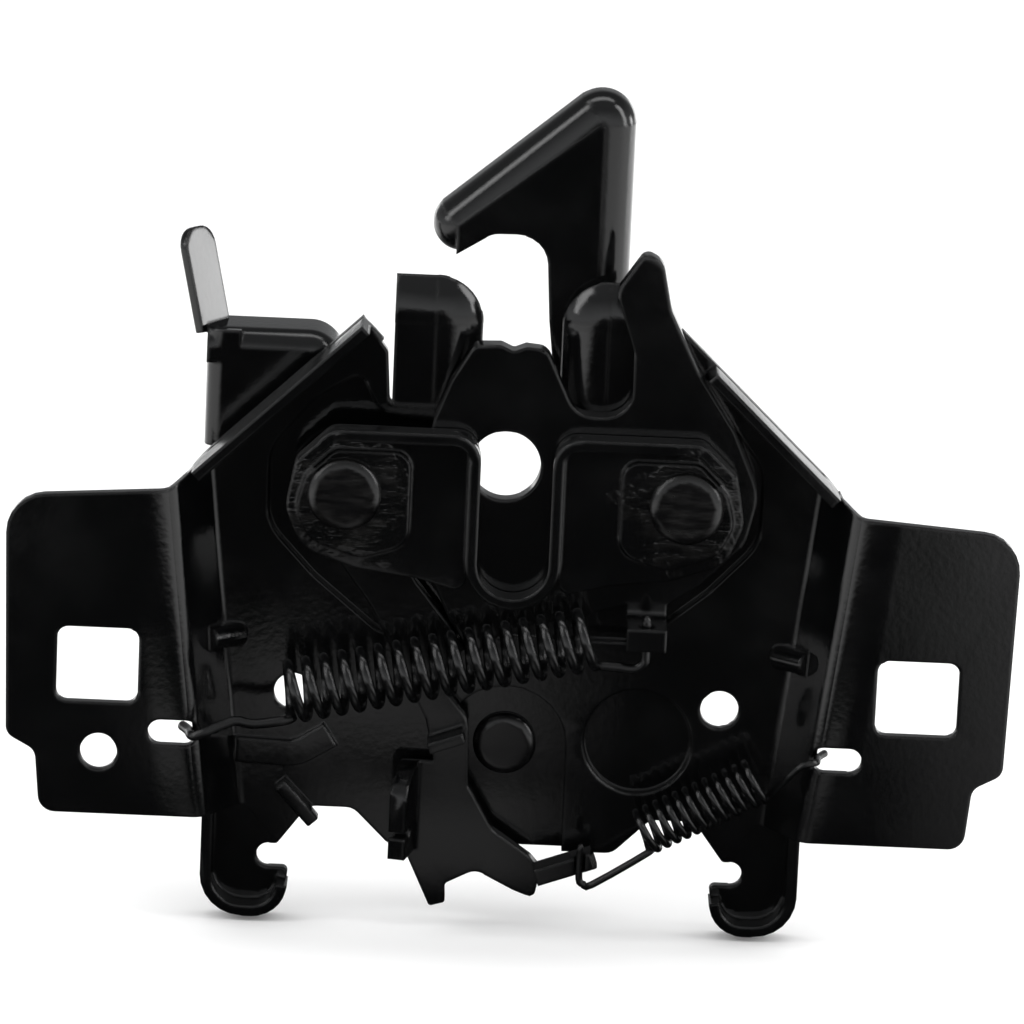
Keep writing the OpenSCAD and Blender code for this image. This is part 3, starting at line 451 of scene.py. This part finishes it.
def new_geometry_group(name):
    """A geometry group with one way in and one way out."""
    group = bpy.data.node_groups.new(name, "GeometryNodeTree")
    group.interface.new_socket(name="Geometry", in_out="INPUT", socket_type="NodeSocketGeometry")
    group.interface.new_socket(name="Geometry", in_out="OUTPUT", socket_type="NodeSocketGeometry")
    return group, group.nodes.new("NodeGroupInput"), group.nodes.new("NodeGroupOutput")


def field_on(group, field, domain):
    """A field carried to points, edges or corners as the mean of what they touch."""
    node = group.nodes.new("GeometryNodeFieldOnDomain")
    node.data_type = "FLOAT"
    node.domain = domain
    group.links.new(field, node.inputs[0])
    return node.outputs[0]


def steep_edges(group):
    """A field that is one on edges steeper than a bend's facets."""
    angle = group.nodes.new("GeometryNodeInputMeshEdgeAngle")
    return math_node(group, "GREATER_THAN", angle.outputs["Unsigned Angle"], STEEP_EDGE)


def rounding_group(narrow):
    """Geometry group that marks steep edges clear of tiny steps and of corners below narrow degrees."""
    name = f"mark_edges_clear_of_{narrow}_degrees"
    found = bpy.data.node_groups.get(name)
    if found:
        return found
    group, start, end = new_geometry_group(name)
    ends = group.nodes.new("GeometryNodeInputMeshEdgeVertices")
    run = vector_node(group, "DISTANCE", ends.outputs["Position 1"], ends.outputs["Position 2"])
    tiny = field_on(group, math_node(group, "LESS_THAN", run, TINY_EDGE), "EDGE")
    here = group.nodes.new("GeometryNodeInputPosition").outputs[0]
    arms = []
    for step in (1, -1):
        beside = group.nodes.new("GeometryNodeOffsetCornerInFace")
        beside.inputs["Offset"].default_value = step
        there = group.nodes.new("GeometryNodeFieldAtIndex")
        there.data_type = "FLOAT_VECTOR"
        there.domain = "CORNER"
        group.links.new(beside.outputs[0], there.inputs["Index"])
        group.links.new(here, there.inputs["Value"])
        arms.append(vector_node(group, "NORMALIZE", vector_node(group, "SUBTRACT", there.outputs[0], here)))
    closeness = vector_node(group, "DOT_PRODUCT", *arms)
    pinched = math_node(group, "GREATER_THAN", closeness, math.cos(math.radians(narrow)))
    pinched = field_on(group, field_on(group, pinched, "CORNER"), "POINT")
    crowd = math_node(group, "ADD", field_on(group, tiny, "POINT"), pinched)
    crowd = field_on(group, field_on(group, crowd, "POINT"), "EDGE")
    clear = math_node(group, "LESS_THAN", crowd, NONE_NEAR)
    mark = group.nodes.new("GeometryNodeStoreNamedAttribute")
    mark.data_type = "FLOAT"
    mark.domain = "EDGE"
    mark.inputs["Name"].default_value = "bevel_weight_edge"
    group.links.new(start.outputs[0], mark.inputs["Geometry"])
    group.links.new(math_node(group, "MULTIPLY", clear, steep_edges(group)), mark.inputs["Value"])
    group.links.new(mark.outputs["Geometry"], end.inputs[0])
    return group


def smooth_group():
    """Geometry group that shades smooth across shallow edges and keeps steep ones sharp."""
    found = bpy.data.node_groups.get("smooth_shallow_edges")
    if found:
        return found
    group, start, end = new_geometry_group("smooth_shallow_edges")
    faces = group.nodes.new("GeometryNodeSetShadeSmooth")
    faces.domain = "FACE"
    edges = group.nodes.new("GeometryNodeSetShadeSmooth")
    edges.domain = "EDGE"
    edges.inputs["Shade Smooth"].default_value = False
    group.links.new(start.outputs[0], faces.inputs["Geometry"])
    group.links.new(faces.outputs["Geometry"], edges.inputs["Geometry"])
    group.links.new(steep_edges(group), edges.inputs["Selection"])
    group.links.new(edges.outputs["Geometry"], end.inputs[0])
    return group


def dress(node, material, edge):
    """Gives a solid its material and rounds its sharp edges."""
    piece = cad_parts[node]
    for slot in piece.material_slots:
        slot.material = material
    weld = piece.modifiers.new("weld", "WELD")
    weld.merge_threshold = WELD_REACH
    mark = piece.modifiers.new("mark_edges", "NODES")
    mark.node_group = rounding_group(NARROW_FOLDED if node in FOLDED else NARROW_PLAIN)
    bevel = piece.modifiers.new("round_edges", "BEVEL")
    bevel.width = edge
    bevel.segments = 2
    bevel.limit_method = "WEIGHT"
    bevel.use_clamp_overlap = False
    bevel.loop_slide = False
    smooth = piece.modifiers.new("smooth", "NODES")
    smooth.node_group = smooth_group()
    flatten = piece.modifiers.new("keep_faces_flat", "WEIGHTED_NORMAL")
    flatten.keep_sharp = True


def on_plane(point, depth):
    """A point given as X and Z in millimetres, at a depth in millimetres, in metres."""
    return Vector((point[0], depth, point[1])) * MM


def coil_points(start, end, radius, turns, steps=16):
    """Points of a straight coil from start to end, beginning below its axis."""
    axis = (end - start).normalized()
    down = Vector((0.0, 0.0, -1.0))
    down = (down - axis * down.dot(axis)).normalized()
    side = axis.cross(down)
    count = turns * steps
    return [
        start.lerp(end, i / count)
        + radius * (math.cos(2 * math.pi * i / steps) * down + math.sin(2 * math.pi * i / steps) * side)
        for i in range(count + 1)
    ]


def smooth_path(points, steps=3):
    """The points joined by a smooth curve through each of them."""
    path = []
    last = len(points) - 1
    for i in range(last):
        before, here = points[max(i - 1, 0)], points[i]
        after, beyond = points[i + 1], points[min(i + 2, last)]
        for k in range(steps):
            t = k / steps
            path.append(0.5 * (
                2 * here + (after - before) * t
                + (2 * before - 5 * here + 4 * after - beyond) * t * t
                + (3 * here - before - 3 * after + beyond) * t * t * t))
    return path + [points[last]]


def wire_piece(name, points, diameter, material, sides=12, end_dome=0.12):
    """A round wire along the points, with ends domed by a share of its diameter."""
    path = smooth_path(points)
    count = len(path)
    tangents = [
        (path[min(i + 1, count - 1)] - path[max(i - 1, 0)]).normalized() for i in range(count)]
    across = Vector((0.13, 0.2, 1.0))    # any way that no wire starts along
    vertices = []
    for here, along in zip(path, tangents):
        across = (across - along * across.dot(along)).normalized()
        other = along.cross(across)
        for k in range(sides):
            turn = 2 * math.pi * k / sides
            vertices.append(here + diameter / 2 * (math.cos(turn) * across + math.sin(turn) * other))
    faces = []
    for i in range(count - 1):
        for k in range(sides):
            a, b = i * sides + k, i * sides + (k + 1) % sides
            faces.append((a, b, b + sides, a + sides))
    last_ring = (count - 1) * sides
    for ring, along, first in ((path[0], -tangents[0], 0), (path[-1], tangents[-1], last_ring)):
        tip = len(vertices)
        vertices.append(ring + along * diameter * end_dome)
        for k in range(sides):
            pair = (first + k, first + (k + 1) % sides)
            faces.append((*(reversed(pair) if first == 0 else pair), tip))
    mesh = bpy.data.meshes.new(name)
    mesh.from_pydata(vertices, [], faces)
    mesh.polygons.foreach_set("use_smooth", [True] * len(mesh.polygons))
    mesh.materials.append(material)
    mesh.update()
    piece = bpy.data.objects.new(name, mesh)
    bpy.context.scene.collection.objects.link(piece)
    return piece


def spring_material(finish):
    """The springs' coated wire, with a finer relief than the sheet."""
    found = bpy.data.materials.get("coated_wire")
    return found or coat_material("coated_wire", finish.spring_colour, finish, WIRE_COAT)


# Operators

class LATCH_OT_coat_pressings(bpy.types.Operator):
    """Coats the base plate, safety catch and release handle"""

    bl_idname = "latch.coat_pressings"
    bl_label = "Coat the pressings"

    def execute(self, context):
        finish = context.scene.latch_finish
        material = coat_material("gloss_black_coat", finish.coat_colour, finish, SHEET_COAT)
        for node in PRESSINGS:
            dress(node, material, finish.sheet_edge)
        rolled = coat_material(
            "rolled_black_coat", finish.coat_colour, finish, SHEET_COAT, roll_depth=finish.wing_roll)
        dress(BASE, rolled, finish.sheet_edge)
        return {"FINISHED"}


class LATCH_OT_coat_cover(bpy.types.Operator):
    """Coats the cover plate and smears grease round its rivets"""

    bl_idname = "latch.coat_cover"
    bl_label = "Coat the cover plate"

    def execute(self, context):
        finish = context.scene.latch_finish
        material = coat_material(
            "greased_black_coat", finish.coat_colour, finish, SHEET_COAT, grease_depth=finish.cover_grease)
        dress(COVER, material, finish.sheet_edge)
        return {"FINISHED"}


class LATCH_OT_coat_claw_and_pawl(bpy.types.Operator):
    """Coats the blanked claw and pawl"""

    bl_idname = "latch.coat_claw_and_pawl"
    bl_label = "Coat the claw and pawl"

    def execute(self, context):
        finish = context.scene.latch_finish
        material = coat_material("blanked_black_coat", finish.coat_colour, finish, BLANK_COAT)
        for node in BLANKED:
            dress(node, material, finish.sheet_edge)
        return {"FINISHED"}


class LATCH_OT_finish_pivots(bpy.types.Operator):
    """Finishes the rivets, bushings, washers and spacer"""

    bl_idname = "latch.finish_pivots"
    bl_label = "Finish the pivots"

    def execute(self, context):
        finish = context.scene.latch_finish
        material = coat_material(
            "greased_pivot_steel", finish.pivot_colour, finish, PIVOT_COAT, grease_depth=finish.pivot_grease)
        for node in PIVOTS:
            dress(node, material, finish.pivot_edge)
        return {"FINISHED"}


class LATCH_OT_wind_claw_spring(bpy.types.Operator):
    """Winds the claw's spring from the left wing's slot to the claw's tab"""

    bl_idname = "latch.wind_claw_spring"
    bl_label = "Wind the claw's spring"

    def execute(self, context):
        size = context.scene.latch_springs
        depth = -3.4
        wire_half = 0.9
        slack = 0.45
        anchor = Vector((-SLOT_MIDDLE + SLOT_REACH - wire_half - slack, SLOT_HEIGHT))
        eye = Vector((24.0, 9.6))
        left_hook = [
            on_plane(anchor + Vector(step), y) for step, y in (
                ((-1.5, 0.0), 2.8), ((-0.8, 0.0), 1.3), ((0.0, 0.0), -1.0), ((0.3, 0.2), -3.4),
                ((1.6, 0.6), -4.8), ((7.6, 3.0), depth), ((11.2, 2.6), depth))]
        right_hook = [
            on_plane(eye + Vector(step), depth) for step in (
                (-4.6, -5.6), (-1.8, -5.8), (-0.2, -4.6), (0.0, -3.0), (0.0, 2.6), (-0.4, 3.4))]
        coil_start = on_plane((-39.2, -3.2), depth)
        coil_end = on_plane((14.4, 9.0), depth)
        coil = coil_points(coil_start, coil_end, size.claw_coil / 2, size.claw_turns)
        spring = wire_piece(
            "claw_spring_wire", left_hook + coil + right_hook, size.claw_wire,
            spring_material(context.scene.latch_finish))
        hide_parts("claw_spring")
        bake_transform(spring)
        return {"FINISHED"}


class LATCH_OT_wind_pawl_spring(bpy.types.Operator):
    """Winds the pawl's spring from the pawl's tab to the right wing's slot"""

    bl_idname = "latch.wind_pawl_spring"
    bl_label = "Wind the pawl's spring"

    def execute(self, context):
        size = context.scene.latch_springs
        depth = -0.95
        wire_half = 0.65
        slack = 0.3
        eye = Vector((14.2, -33.2))
        anchor = Vector((SLOT_MIDDLE - SLOT_REACH + wire_half + slack, SLOT_HEIGHT))
        left_hook = [
            on_plane(eye + Vector(step), depth) for step in (
                (0.4, 3.4), (0.0, 2.6), (0.0, -2.6), (0.8, -3.6), (2.4, -3.6))]
        right_hook = [
            on_plane(anchor + Vector(step), y) for step, y in (
                ((-3.4, -1.0), -4.4), ((-1.0, 0.0), -4.2), ((-0.1, 0.0), -3.2),
                ((0.0, 0.0), -1.0), ((0.8, 0.0), 1.2), ((1.5, 0.0), 2.6))]
        coil_start = on_plane((24.6, -27.0), depth)
        coil_end = on_plane((45.0, -16.2), depth)
        coil = coil_points(coil_start, coil_end, size.pawl_coil / 2, size.pawl_turns)
        spring = wire_piece(
            "pawl_spring_wire", left_hook + coil + right_hook, size.pawl_wire,
            spring_material(context.scene.latch_finish))
        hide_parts("pawl_spring")
        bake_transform(spring)
        return {"FINISHED"}


class LATCH_OT_wind_catch_spring(bpy.types.Operator):
    """Winds the safety catch's spring round its pivot"""

    bl_idname = "latch.wind_catch_spring"
    bl_label = "Wind the safety catch's spring"

    def execute(self, context):
        size = context.scene.latch_springs
        radius = size.catch_coil / 2 / MM
        pivot = Vector((0.0, -14.5))
        front = 17.35                  # depth of the coil's first turn
        rear = 19.43                   # and of its last
        low = -34.65                   # height of the leg, just under the base plate's lower edge
        hooked = 9.45                  # depth of the leg's hooked end
        stem_low = Vector((8.0, -13.5))
        stem_high = Vector((17.4, 24.0))
        stem = (stem_high - stem_low).normalized()
        arm_up = 23.0                  # from the stem's foot to the arm's end
        arm_out = 1.0                  # from the stem's line to the wire's middle
        edge = stem_low + arm_up * stem + arm_out * Vector((stem.y, -stem.x))
        leg = [
            on_plane((-radius, low + rise), y) for rise, y in (
                (3.4, hooked), (0.8, hooked), (0.0, 10.9), (0.0, front - 1.2), (1.0, front))]
        turns = 1.125
        steps = 18
        coil = []
        for i in range(steps + 1):
            turn = 2 * math.pi * turns * i / steps
            out = radius * Vector((-math.cos(turn), math.sin(turn)))
            coil.append(on_plane(pivot + out, front + (rear - front) * i / steps))
        arm = [
            on_plane(edge + Vector((0.0, drop)), y) for drop, y in (
                (-2.0, rear), (-0.5, rear - 0.3), (0.0, rear - 1.4), (0.0, 14.3))]
        spring = wire_piece(
            "catch_spring_wire", leg + coil + arm, size.catch_wire,
            spring_material(context.scene.latch_finish))
        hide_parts("catch_spring")
        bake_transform(spring)
        return {"FINISHED"}


class LATCH_OT_set_stage(bpy.types.Operator):
    """Sets up the floor, lights and camera"""

    bl_idname = "latch.set_stage"
    bl_label = "Set the stage"

    def execute(self, context):
        stage = context.scene.latch_stage
        self.lay_floor(stage)
        self.hang_lights()
        self.light_world()
        self.aim_camera(context, stage)
        return {"FINISHED"}

    def lay_floor(self, stage):
        """A pale floor that the glossy black sheet sees as a dim one, with painted light at its sides,
        behind the latch and in pools.
        """
        half = FLOOR_HALF
        level = CAD_BOX[0].z - FLOOR_GAP
        corners = [(-half, -half, level), (half, -half, level), (half, half, level), (-half, half, level)]
        mesh = bpy.data.meshes.new("floor")
        mesh.from_pydata(corners, [], [(0, 1, 2, 3)])
        floor = bpy.data.objects.new("floor", mesh)
        bpy.context.scene.collection.objects.link(floor)
        material, tree, shader = new_material("pale_floor")
        shader.inputs["Base Color"].default_value = (*stage.floor_colour, 1.0)
        shader.inputs["Roughness"].default_value = 0.9
        shader.inputs["Specular IOR Level"].default_value = 0.1
        dim = tree.nodes.new("ShaderNodeBsdfDiffuse")
        place = tree.nodes.new("ShaderNodeSeparateXYZ")
        tree.links.new(tree.nodes.new("ShaderNodeTexCoord").outputs["Object"], place.inputs[0])
        # Painted light that only reflections see: brighter towards the floor's sides and behind the latch
        sides = ramp_node(tree, self.away_from(tree, place.outputs["X"], FLOOR_MIDDLE), *FLOOR_SIDES)
        seen = math_node(tree, "ADD", sides, ramp_node(tree, place.outputs["Y"], *FLOOR_REAR))
        # Pools of painted light, seen only in reflections, that put a grey sheen on the pawl and the pan's
        # lower floor
        for middle_x, middle_y, fade_x, fade_y in FLOOR_LIGHT_POOLS:
            across = self.away_from(tree, place.outputs["X"], middle_x)
            along = self.away_from(tree, place.outputs["Y"], middle_y)
            light_pool = math_node(
                tree, "MULTIPLY", ramp_node(tree, across, *fade_x, LIGHT_POOL_VALUE, 0.0),
                ramp_node(tree, along, *fade_y, 1.0, 0.0))
            seen = math_node(tree, "ADD", seen, light_pool)
        tree.links.new(seen, dim.inputs["Color"])
        shine_switch(tree, shader, dim, "Material Output")
        mesh.materials.append(material)

    def away_from(self, tree, value, middle):
        """How far a value lies from a middle, on either side."""
        return math_node(tree, "ABSOLUTE", math_node(tree, "SUBTRACT", value, middle))

    def hang_lights(self):
        """Soft boxes at both sides and above for streaks along bends and wires, one for the finger tab."""
        for name, place, width, height, power in SOFT_BOXES:
            light = bpy.data.lights.new(name, "AREA")
            light.shape = "RECTANGLE"
            light.size = width
            light.size_y = height
            light.energy = power
            lamp = bpy.data.objects.new(name, light)
            lamp.location = place
            lamp.rotation_euler = (LIGHTS_AIM - Vector(place)).to_track_quat("-Z", "Y").to_euler()
            bpy.context.scene.collection.objects.link(lamp)

    def light_world(self):
        """A white room that the coat's shine sees dimmer behind the latch and above it."""
        bpy.context.scene.view_settings.view_transform = "Standard"
        world = bpy.data.worlds.new("studio")
        bpy.context.scene.world = world
        world.use_nodes = True
        tree = world.node_tree
        room = tree.nodes["Background"]
        room.inputs["Color"].default_value = ROOM_WHITE
        shine = tree.nodes.new("ShaderNodeBackground")
        shine.inputs["Color"].default_value = SHINE_WHITE
        way = tree.nodes.new("ShaderNodeSeparateXYZ")
        tree.links.new(tree.nodes.new("ShaderNodeTexCoord").outputs["Generated"], way.inputs[0])
        behind = ramp_node(tree, way.outputs["Y"], *ROOM_BEHIND)
        above = ramp_node(tree, way.outputs["Z"], *ROOM_ABOVE)
        tree.links.new(math_node(tree, "MULTIPLY", behind, above), shine.inputs["Strength"])
        shine_switch(tree, room, shine, "World Output")

    def aim_camera(self, context, stage):
        """The photograph's view: nearly square on, a little from above, rolled slightly."""
        turn, rise = stage.azimuth, stage.elevation
        back = Vector((
            math.sin(turn) * math.cos(rise), -math.cos(turn) * math.cos(rise), math.sin(rise)))
        level = Vector((math.cos(turn), math.sin(turn), 0.0))
        up = back.cross(level)
        right = math.cos(stage.roll) * level + math.sin(stage.roll) * up
        top = back.cross(right)
        data = bpy.data.cameras.new("camera")
        data.sensor_width = SENSOR_WIDTH
        data.lens = stage.lens
        camera = bpy.data.objects.new("camera", data)
        camera.matrix_world = (
            Matrix.Translation(Vector(stage.aim) + back * stage.distance)
            @ Matrix((right, top, back)).transposed().to_4x4())
        context.scene.collection.objects.link(camera)
        context.scene.camera = camera


OPERATORS = (
    LATCH_OT_coat_pressings,
    LATCH_OT_coat_cover,
    LATCH_OT_coat_claw_and_pawl,
    LATCH_OT_finish_pivots,
    LATCH_OT_wind_claw_spring,
    LATCH_OT_wind_pawl_spring,
    LATCH_OT_wind_catch_spring,
    LATCH_OT_set_stage,
)


class LATCH_PT_sidebar(bpy.types.Panel):
    """Lists the latch's steps and settings"""

    bl_idname = "LATCH_PT_sidebar"
    bl_label = "Bonnet latch"
    bl_space_type = "VIEW_3D"
    bl_region_type = "UI"
    bl_category = "Latch"

    def draw(self, context):
        scene = context.scene
        for operator in OPERATORS:
            self.layout.operator(operator.bl_idname)
        for settings in (scene.latch_finish, scene.latch_springs, scene.latch_stage):
            box = self.layout.box()
            for name in settings.__annotations__:
                box.prop(settings, name)


CLASSES = (LatchFinish, LatchSprings, LatchStage, *OPERATORS, LATCH_PT_sidebar)


def register():
    for item in CLASSES:
        bpy.utils.register_class(item)
    bpy.types.Scene.latch_finish = PointerProperty(type=LatchFinish)
    bpy.types.Scene.latch_springs = PointerProperty(type=LatchSprings)
    bpy.types.Scene.latch_stage = PointerProperty(type=LatchStage)


def unregister():
    del bpy.types.Scene.latch_finish
    del bpy.types.Scene.latch_springs
    del bpy.types.Scene.latch_stage
    for item in reversed(CLASSES):
        bpy.utils.unregister_class(item)


def main():
    register()
    bpy.ops.latch.coat_pressings()
    bpy.ops.latch.coat_cover()
    bpy.ops.latch.coat_claw_and_pawl()
    bpy.ops.latch.finish_pivots()
    bpy.ops.latch.wind_claw_spring()
    bpy.ops.latch.wind_pawl_spring()
    bpy.ops.latch.wind_catch_spring()
    bpy.ops.latch.set_stage()
    bpy.context.view_layer.update()


if __name__ == "__main__":
    main()
